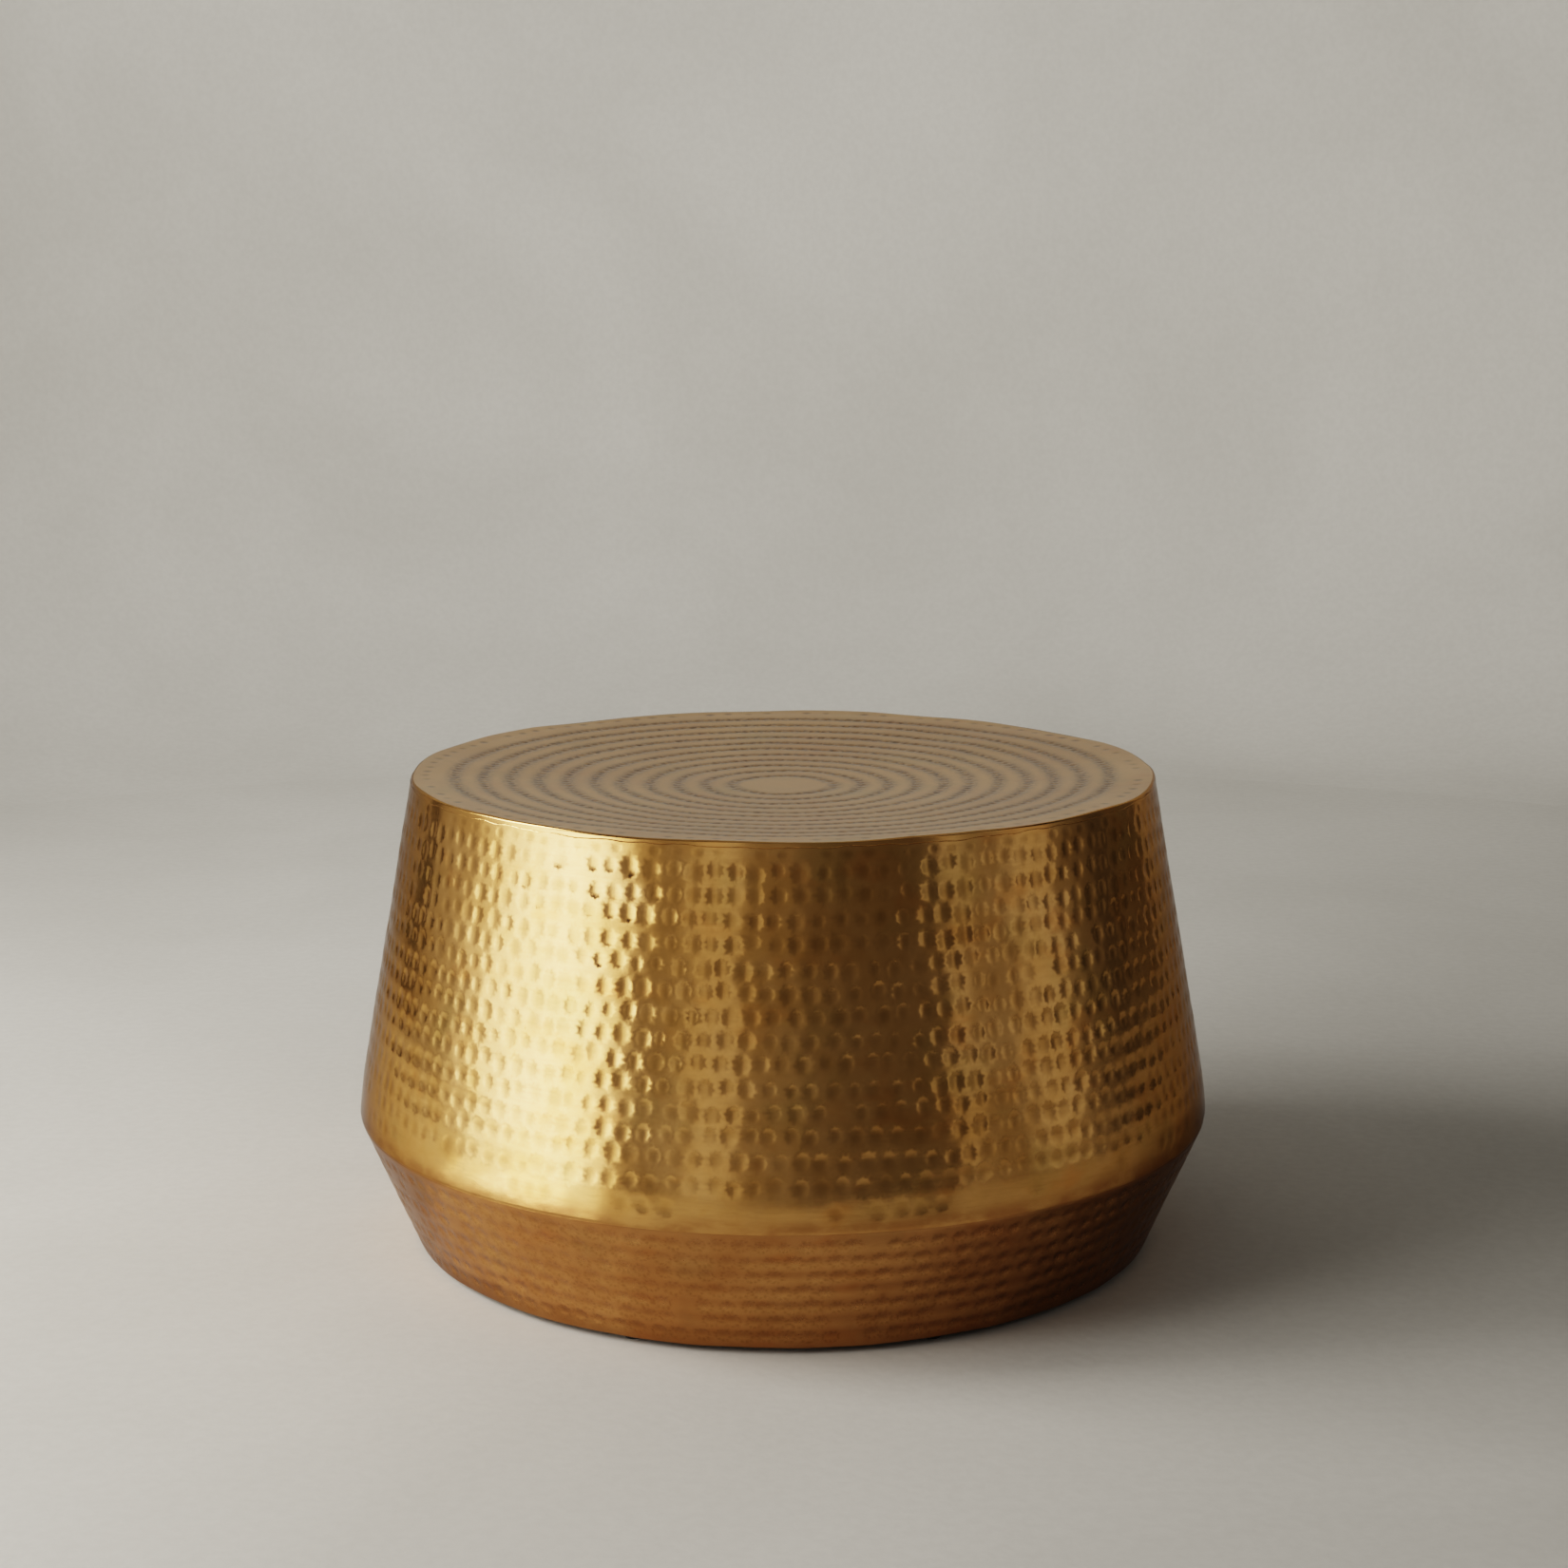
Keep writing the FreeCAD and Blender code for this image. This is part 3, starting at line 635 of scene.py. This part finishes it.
rim_row(RIM[0] + DOWN_U[0] * s_in - OUT_U[0] * (LIP_TOP - 0.25), RIM[1] + DOWN_U[1] * s_in - OUT_U[1] * (LIP_TOP - 0.25), -OUT_U[0], -OUT_U[1])
for r_in in (R_FLAT - 1.0, 300.0, 280.0, 255.0, 230.0, 200.0, 170.0, 140.0, 110.0, 80.0, R_MIDDLE):
    low, rise = dish(r_in)
    under = np.minimum(low_in, HEIGHT - 1.0 + h_rim) if r_in > 310.0 else low_in     # stays under the rim where the rim falls
    rim_row(r_in, under - float(low), float(rise), -1.0)
rim_co.append(np.array([[0, 0, low_in - TOP_DISH]]))
rim_n.append(np.array([[0, 0, -1.0]]))
centre = at
top_co = np.concatenate([top_co] + rim_co)
top_n = np.concatenate([top_n] + rim_n)
n_extra = len(top_co) - len(fx)
masks = {"pit": np.concatenate([inside, np.zeros(n_extra)]), "rim": np.concatenate([edge, np.zeros(n_extra)]),
         "tone": np.concatenate([tone, np.zeros(n_extra)])}
outer = grid_faces(np.array(rim_rows[:n_lip]), True)
inner_f = grid_faces(np.array(rim_rows[n_lip - 1:]), True)
v = top_co[inner_f]
fn = np.repeat(np.cross(v[:, 2] - v[:, 0], v[:, 3] - v[:, 1])[:, None], 4, 1)
last_row = rim_rows[-1]
cap = np.stack([np.full(COLS_TOP, centre), np.roll(last_row, -1), last_row], 1)
top_sheet = make_mesh("top_sheet", top_co, top_n, [(tris, None, 0), (outer, None, 1), (inner_f, fn, 2), (cap, None, 2)], masks)

for piece, node, slot in ((upper_wall, "upper_shell", "brass_wall"), (lower_wall, "lower_shell", "brass_wall"), (top_sheet, "top_plate", "brass_top")):
    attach(piece, "root")
    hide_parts(node)


# ------------------------------------------------------------------ materials
class Nodes:
    """A node material with a Principled shader, and short names for the nodes that these finishes use."""

    def __init__(self, name):
        self.mat = bpy.data.materials.new(name)
        self.mat.use_nodes = True
        self.tree = self.mat.node_tree
        self.shader = next(n for n in self.tree.nodes if n.type == "BSDF_PRINCIPLED")
        self.where = self.tree.nodes.new("ShaderNodeTexCoord").outputs["Object"]

    def set(self, **values):
        for key, value in values.items():
            self.shader.inputs[key.replace("_", " ")].default_value = value
        return self

    def node(self, kind, inputs=None, **settings):
        n = self.tree.nodes.new(kind)
        for key, value in settings.items():
            setattr(n, key, value)
        for key, value in (inputs or {}).items():
            socket = n.inputs[key]
            if isinstance(value, bpy.types.NodeSocket):
                self.tree.links.new(value, socket)
            else:
                socket.default_value = value
        return n

    def stretch(self, x, y, z):
        return self.node("ShaderNodeMapping", {"Vector": self.where, "Scale": (x, y, z)}).outputs["Vector"]

    def noise(self, scale, detail=3.0, rough=0.55, at=None, warp=0.0):
        return self.node("ShaderNodeTexNoise", {"Vector": at or self.where, "Scale": scale, "Detail": detail, "Roughness": rough, "Distortion": warp}).outputs["Fac"]

    def attribute(self, name):
        return self.node("ShaderNodeAttribute", attribute_name=name).outputs["Fac"]

    def math(self, op, a, b=0.0, c=0.0, clamp=False):
        return self.node("ShaderNodeMath", {0: a, 1: b, 2: c}, operation=op, use_clamp=clamp).outputs[0]

    def ramp(self, value, low, high, to_low=0.0, to_high=1.0, smooth=True):
        return self.node("ShaderNodeMapRange", {"Value": value, "From Min": low, "From Max": high, "To Min": to_low, "To Max": to_high},
                         interpolation_type="SMOOTHSTEP" if smooth else "LINEAR").outputs["Result"]

    def mix(self, fac, a, b, blend="MIX"):
        n = self.node("ShaderNodeMix", data_type="RGBA", blend_type=blend)
        for key, value in ((0, fac), (6, a), (7, b)):
            if isinstance(value, bpy.types.NodeSocket):
                self.tree.links.new(value, n.inputs[key])
            else:
                n.inputs[key].default_value = value if key == 0 else (*value, 1.0)
        return n.outputs[2]

    def bump(self, height, strength, distance, normal=None):
        inputs = {"Height": height, "Strength": strength, "Distance": distance}
        if normal is not None:
            inputs["Normal"] = normal
        return self.node("ShaderNodeBump", inputs).outputs["Normal"]

    def out(self, **sockets):
        for key, value in sockets.items():
            self.tree.links.new(value, self.shader.inputs[key.replace("_", " ")])
        return self.mat


TINT = (0.61, 0.62, 0.66)
WALL_TINT = (0.49, 0.46, 0.47)
# colour of the painted shade on the band where the wall turns in at the belly
BELLY_SHADE_TONE = (0.44, 0.225, 0.090)


def brass(name, bright, mid, patina, rough, pit_dark, rim_dark, tint, streak=0.0, line_break=(0.3, 0.7), line_low=0.45, speckle=420.0, coat=0.0):
    """Lacquered, hand-hammered brass: slow changes of tone and hue, dull pits with a darker line round them, brushed
    streaks, stains, pinholes and fine scratches, a painted highlight along the lower wall's rows and painted shade on
    the band that turns in at the belly.
    """
    m = Nodes(name).set(Metallic=1.0, Specular_Tint=(*tint, 1.0), Coat_Weight=coat, Coat_Roughness=0.34, Coat_IOR=1.32)
    broad = m.noise(7.0, 2.0)
    cloud = m.noise(34.0, 4.0, 0.6, warp=0.4)
    grain = m.noise(420.0, 3.0, 0.6)
    fine = m.noise(1500.0, 2.0)
    brushed = m.noise(36.0, 5.0, 0.65, at=m.stretch(1.0, 1.0, 9.0), warp=0.3)
    tone = m.attribute("tone")
    pit, rim, turn, row = m.attribute("pit"), m.attribute("rim"), m.attribute("turn"), m.attribute("row")
    colour = m.mix(m.ramp(m.math("ADD", m.math("MULTIPLY", broad, 0.55), m.math("MULTIPLY", cloud, 0.45)), 0.36, 0.66), mid, bright)
    green = tuple(c * k for c, k in zip(mid, (0.90, 1.06, 1.12)))
    red = tuple(c * k for c, k in zip(mid, (1.04, 0.88, 0.80)))
    colour = m.mix(m.ramp(m.noise(15.0, 3.0, 0.6), 0.50, 0.74, 0.0, 0.55), colour, green)
    colour = m.mix(m.ramp(m.noise(21.0, 3.0, 0.6, at=m.stretch(1.0, 1.0, 1.6)), 0.52, 0.76, 0.0, 0.55), colour, red)
    if streak:
        colour = m.mix(m.ramp(brushed, 0.46, 0.66, 0.0, streak), colour, tuple(0.62 * c for c in mid))
        colour = m.mix(m.ramp(brushed, 0.30, 0.46, streak, 0.0), colour, tuple(min(1.0, 1.22 * c) for c in bright))
    colour = m.mix(m.math("MULTIPLY", row, m.ramp(m.noise(9.0, 3.0, 0.6), 0.38, 0.62, 0.06, 0.36)), colour, tuple(k * c for k, c in zip((1.40, 1.52, 1.42), bright)))     # painted highlight: the lower half of each row of the lower wall is painted lighter, as if it caught the light
    blotch = m.noise(24.0, 4.0, 0.6, at=m.stretch(1.0, 1.0, 2.0))
    colour = m.mix(m.math("MULTIPLY", turn, m.ramp(blotch, 0.38, 0.62, 0.40, 1.0)), colour, BELLY_SHADE_TONE)     # painted shade: the band where the wall turns in at the belly is painted darker and blotchy, in the colour of shaded metal
    stain = m.math("MULTIPLY", m.ramp(cloud, 0.52, 0.78), 0.22)
    dull = m.math("MULTIPLY", pit, m.math("MULTIPLY_ADD", tone, pit_dark * 0.8, pit_dark * 0.6))
    # painted highlight: pits are darkened less where the row highlight is painted
    dull = m.math("MULTIPLY", dull, m.math("MULTIPLY_ADD", row, -0.85, 1.0))
    line = m.math("MULTIPLY", rim, m.ramp(m.noise(speckle, 3.0, 0.6), line_break[0], line_break[1], rim_dark * line_low, rim_dark))
    dark = m.math("MAXIMUM", m.math("MAXIMUM", dull, line), stain)
    hole = m.node("ShaderNodeTexVoronoi", {"Vector": m.where, "Scale": 46.0, "Randomness": 1.0}, feature="F1")
    speck = m.math("MULTIPLY", m.ramp(hole.outputs["Distance"], 0.018, 0.040, 1.0, 0.0), m.ramp(hole.outputs["Color"], 0.62, 0.66))
    dark = m.math("MAXIMUM", dark, m.math("MULTIPLY", speck, 0.75))
    colour = m.mix(dark, colour, patina)
    r = m.math("MULTIPLY_ADD", cloud, 0.08, rough - 0.07)
    r = m.math("ADD", r, m.math("MULTIPLY", pit, 0.02))
    r = m.math("ADD", r, m.math("MULTIPLY", grain, 0.06))
    if streak:
        r = m.math("ADD", r, m.ramp(brushed, 0.4, 0.7, 0.0, 0.05))
    height = m.math("ADD", m.math("MULTIPLY", grain, 0.7), m.math("MULTIPLY", fine, 0.3))
    return m.out(Base_Color=colour, Roughness=r, Normal=m.bump(height, 0.06, 0.0004))


def painted_steel():
    m = Nodes("painted_steel").set(Metallic=0.0)
    n = m.noise(60.0, 4.0)
    peel = m.noise(900.0, 2.0)
    scratch = m.noise(160.0, 6.0, 0.7, at=m.stretch(1.0, 1.0, 8.0))
    colour = m.mix(m.ramp(n, 0.3, 0.7), (0.012, 0.012, 0.013), (0.024, 0.023, 0.022))
    colour = m.mix(m.ramp(scratch, 0.66, 0.74, 0.0, 0.6), colour, (0.16, 0.15, 0.14))
    return m.out(Base_Color=colour, Roughness=m.ramp(n, 0.2, 0.8, 0.42, 0.6), Normal=m.bump(peel, 0.15, 0.0004))


def fibre_board():
    m = Nodes("fibre_board")
    n, fibre = m.noise(14.0, 4.0), m.noise(700.0, 5.0, 0.7, at=m.stretch(1.0, 0.35, 1.0))
    colour = m.mix(m.ramp(n, 0.3, 0.7), (0.30, 0.19, 0.10), (0.37, 0.245, 0.135))
    colour = m.mix(m.ramp(fibre, 0.45, 0.75, 0.0, 0.55), colour, (0.19, 0.115, 0.06))
    return m.out(Base_Color=colour, Roughness=m.ramp(fibre, 0.3, 0.7, 0.72, 0.88), Normal=m.bump(fibre, 0.25, 0.0005))


def zinc():
    m = Nodes("zinc_plate").set(Metallic=1.0)
    n, f = m.noise(500.0, 4.0), m.noise(120.0, 3.0)
    colour = m.mix(m.ramp(n, 0.3, 0.7), (0.50, 0.50, 0.48), (0.66, 0.65, 0.60))
    return m.out(Base_Color=colour, Roughness=m.ramp(f, 0.3, 0.7, 0.28, 0.46), Normal=m.bump(n, 0.1, 0.0003))


def nylon():
    m = Nodes("glide_nylon")
    n, f = m.noise(160.0, 3.0), m.noise(1400.0, 3.0)
    colour = m.mix(m.ramp(n, 0.3, 0.7), (0.018, 0.017, 0.016), (0.034, 0.032, 0.030))
    return m.out(Base_Color=colour, Roughness=m.ramp(n, 0.2, 0.8, 0.45, 0.6), Normal=m.bump(f, 0.2, 0.0003))


brass_wall = brass("brass_wall", (0.745, 0.438, 0.182), (0.630, 0.346, 0.122), (0.23, 0.118, 0.032), 0.140, 0.30, 0.20, WALL_TINT, streak=0.10)
# the lower wall's brass is darker and more coppery: partly a different tone of the metal, partly painted shade for the
# wall that faces down under the belly
brass_low = brass("brass_lower_wall", (0.472, 0.248, 0.108), (0.378, 0.184, 0.075), (0.12, 0.050, 0.018), 0.25, 0.25, 0.38, TINT)
brass_top = brass("brass_top", (0.575, 0.350, 0.142), (0.470, 0.270, 0.101), (0.108, 0.058, 0.026), 0.40, 0.58, 0.92, (1.0, 1.0, 1.0),
                  line_break=(0.36, 0.66), line_low=0.34, speckle=260.0, coat=0.58)
brass_inside = brass("brass_inside", (0.46, 0.26, 0.09), (0.36, 0.19, 0.06), (0.16, 0.08, 0.025), 0.5, 0.0, 0.0, TINT)
for obj, mats in ((upper_wall, (brass_wall, brass_inside)), (lower_wall, (brass_low, brass_inside)), (top_sheet, (brass_top, brass_wall, brass_inside))):
    for mat in mats:
        obj.data.materials.append(mat)

steel, board, screw, glide = painted_steel(), fibre_board(), zinc(), nylon()
for node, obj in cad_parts.items():
    if node in ("upper_shell", "lower_shell", "top_plate"):
        continue
    mat = board if node == "top_board" else screw if "screws" in node else glide if node.startswith("glide") else steel
    if not obj.material_slots:
        obj.data.materials.append(mat)
    for slot in obj.material_slots:
        slot.material = mat

# ------------------------------------------------------------------ stage: pale floor that sweeps up into a pale wall
def sweep(name, a0, a1, r_wall=3.0, cove=0.7, high=3.4):
    """Part of a round studio wall with a coved foot, from angle a0 to a1 in degrees, measured from the front towards the right."""
    line = [(r_wall - cove, 0.0)]
    line += [(r_wall - cove + cove * math.sin(t), cove - cove * math.cos(t)) for t in np.linspace(0, math.pi / 2, 13)[1:]]
    line.append((r_wall, high))
    n = max(8, int(abs(a1 - a0) / 3))
    co, faces = [], []
    for k in range(n + 1):
        a = math.radians(a0 + (a1 - a0) * k / n)
        co += [(r * math.sin(a), -r * math.cos(a), z) for r, z in line]
    w = len(line)
    for k in range(n):
        for j in range(w - 1):
            faces.append((k * w + j, (k + 1) * w + j, (k + 1) * w + j + 1, k * w + j + 1))
    mesh = bpy.data.meshes.new(name)
    mesh.from_pydata(co, [], faces, shade_flat=False)
    obj = bpy.data.objects.new(name, mesh)
    bpy.context.scene.collection.objects.link(obj)
    return obj


def disc(name, radius):
    co = [(0, 0, 0)] + [(radius * math.cos(a), radius * math.sin(a), 0.0) for a in np.linspace(0, TAU, 121)[:-1]]
    faces = [(0, 1 + k, 1 + (k + 1) % 120) for k in range(120)]
    mesh = bpy.data.meshes.new(name)
    mesh.from_pydata(co, [], faces)
    obj = bpy.data.objects.new(name, mesh)
    bpy.context.scene.collection.objects.link(obj)
    return obj


def plaster():
    m = Nodes("stage_plaster")
    a, b = m.noise(1.3, 5.0, 0.6, warp=0.5), m.noise(90.0, 4.0)
    colour = m.mix(m.ramp(a, 0.25, 0.75), (0.620, 0.608, 0.571), (0.708, 0.696, 0.660))
    colour = m.mix(m.ramp(b, 0.3, 0.7, 0.0, 0.16), colour, (0.50, 0.485, 0.455))
    return m.out(Base_Color=colour, Roughness=m.ramp(b, 0.2, 0.8, 0.7, 0.9), Normal=m.bump(b, 0.12, 0.002))


floor = disc("stage_floor", 2.3)
wall_back = sweep("stage_wall_back", 126, 234)
wall_front = sweep("stage_wall_front", -126, 126)
plaster_mat = plaster()
for obj in (floor, wall_back, wall_front):
    obj.data.materials.append(plaster_mat)
wall_front.visible_glossy = wall_front.visible_diffuse = wall_front.visible_shadow = False


# ------------------------------------------------------------------ light: soft panels round the table and one overhead
def panel(name, az0, az1, light, z0=0.02, z1=2.0, radius=2.25, colour=(1.0, 0.96, 0.90)):
    """A soft upright panel facing the table, from angle az0 to az1 (degrees from the front towards the right); light is its brightness."""
    mid, half = math.radians((az0 + az1) / 2), math.radians((az1 - az0) / 2)
    width, height = 2 * radius * math.tan(half), z1 - z0
    data = bpy.data.lights.new(name, "AREA")
    data.shape, data.size, data.size_y = "RECTANGLE", width, height
    data.energy, data.color = light * math.pi * width * height, colour
    obj = bpy.data.objects.new(name, data)
    obj.location = (radius * math.sin(mid), -radius * math.cos(mid), (z0 + z1) / 2)
    obj.rotation_euler = (math.pi / 2, 0, mid)
    obj.visible_camera = False
    bpy.context.scene.collection.objects.link(obj)
    return obj


def overhead(name, x, y, z, size, light, colour=(1.0, 0.98, 0.95)):
    data = bpy.data.lights.new(name, "AREA")
    data.shape, data.size = "DISK", size
    data.energy, data.color = light * math.pi * math.pi * size * size / 4, colour
    obj = bpy.data.objects.new(name, data)
    obj.location = (x, y, z)
    obj.visible_camera = False
    bpy.context.scene.collection.objects.link(obj)
    return obj


# a ring of soft upright panels: a bright window side on the left, low fill across the front, two pale strips on the right
RING_OF_LIGHT = [
    (-130, -116, 0.10), (-116, -104, 0.36), (-104, -94, 0.44), (-94, -84, 0.95), (-84, -74, 2.3), (-74, -64, 3.2), (-64, -54, 3.7), (-54, -47, 3.2),
    (-47, -41, 1.70), (-41, -35, 0.37), (-35, -29, 0.235), (-29, -23, 0.31), (-23, -17, 0.54), (-17, -11, 0.485), (-11, -4, 0.21),
    (-4, 4, 0.19), (4, 14, 0.125), (14, 26, 0.10), (26, 37, 0.09), (37, 43, 0.10), (43, 49, 0.34), (49, 55, 0.20),
    (55, 61, 0.175), (61, 67, 0.275), (67, 73, 0.375), (73, 79, 0.35), (79, 86, 0.135), (86, 94, 0.09), (94, 104, 0.045), (104, 126, 0.085)]
for k, (az0, az1, light) in enumerate(RING_OF_LIGHT):
    if light > 1.5:        # only the lower half of the window is mirrored, so that the pits stand out in it
        panel("panel_%02d_low" % k, az0, az1, 1.02 * light, 0.02, 0.86)
        panel("panel_%02d_high" % k, az0, az1, 1.9 * light, 0.86, 2.0).visible_glossy = False
    else:
        panel("panel_%02d" % k, az0, az1, light)
panel("window_high", -103, -73, 8.4, 1.1, 2.4)
wash = overhead("wall_wash", -0.9, 1.4, 3.2, 2.4, 1.0)
wash.rotation_euler = (math.radians(62), 0.0, 0.0)
low_wash = overhead("low_wall_wash", -0.3, 1.15, 1.5, 1.8, 0.45)      # the foot of the wall behind the table
low_wash.rotation_euler = (math.radians(56), 0.0, 0.0)
low_wash.visible_glossy = False
ceiling = overhead("ceiling_glow", 0.0, 0.0, 3.35, 5.0, 0.22)      # only for the metal's edges to mirror
ceiling.visible_diffuse = False

# sunlight lying on the floor at the window side, only for the belly to mirror
def floor_glow(name, az0, az1, light, r0, r1):
    mid, half = math.radians((az0 + az1) / 2), math.radians((az1 - az0) / 2)
    data = bpy.data.lights.new(name, "AREA")
    data.shape, data.size, data.size_y = "RECTANGLE", (r0 + r1) * math.tan(half), r1 - r0
    data.energy, data.color = light * math.pi * data.size * data.size_y, (1.0, 0.91, 0.81)
    obj = bpy.data.objects.new(name, data)
    obj.location = ((r0 + r1) / 2 * math.sin(mid), -(r0 + r1) / 2 * math.cos(mid), 0.004)
    obj.rotation_euler = (math.pi, 0, mid)
    obj.visible_camera = obj.visible_diffuse = False
    bpy.context.scene.collection.objects.link(obj)


for k, (az0, az1, light) in enumerate([(-78, -68, 1.1), (-68, -58, 2.7), (-58, -49, 2.7), (-49, -41, 0.9)]):
    floor_glow("floor_glow_%d" % k, az0, az1, light, 0.85, 2.25)
for k, (az0, az1, light) in enumerate([(-95, -70, 0.07), (-70, -45, 0.25), (-45, -34, 0.19), (-34, -25, 0.145), (-25, -16, 0.085), (-16, -6, 0.03)]):
    floor_glow("foot_glow_%d" % k, az0, az1, light, 0.335, 0.50)

world = bpy.data.worlds.new("studio")
world.use_nodes = True
world.node_tree.nodes["Background"].inputs["Color"].default_value = (1.0, 0.96, 0.91, 1.0)
world.node_tree.nodes["Background"].inputs["Strength"].default_value = 0.015
bpy.context.scene.world = world

# ------------------------------------------------------------------ camera and colour
cam_data = bpy.data.cameras.new("camera")
cam_data.lens, cam_data.sensor_width = 62.23, 36.0
cam_data.clip_start, cam_data.clip_end = 0.05, 50.0
cam = bpy.data.objects.new("camera", cam_data)
cam.location = (0.00086, -2.3169, 0.8187)
cam.rotation_euler = (math.pi / 2 - 0.182, 0.0, 0.0)
bpy.context.scene.collection.objects.link(cam)
bpy.context.scene.camera = cam
view = bpy.context.scene.view_settings
view.view_transform, view.look, view.exposure, view.gamma = "Filmic", "High Contrast", 0.0, 1.0
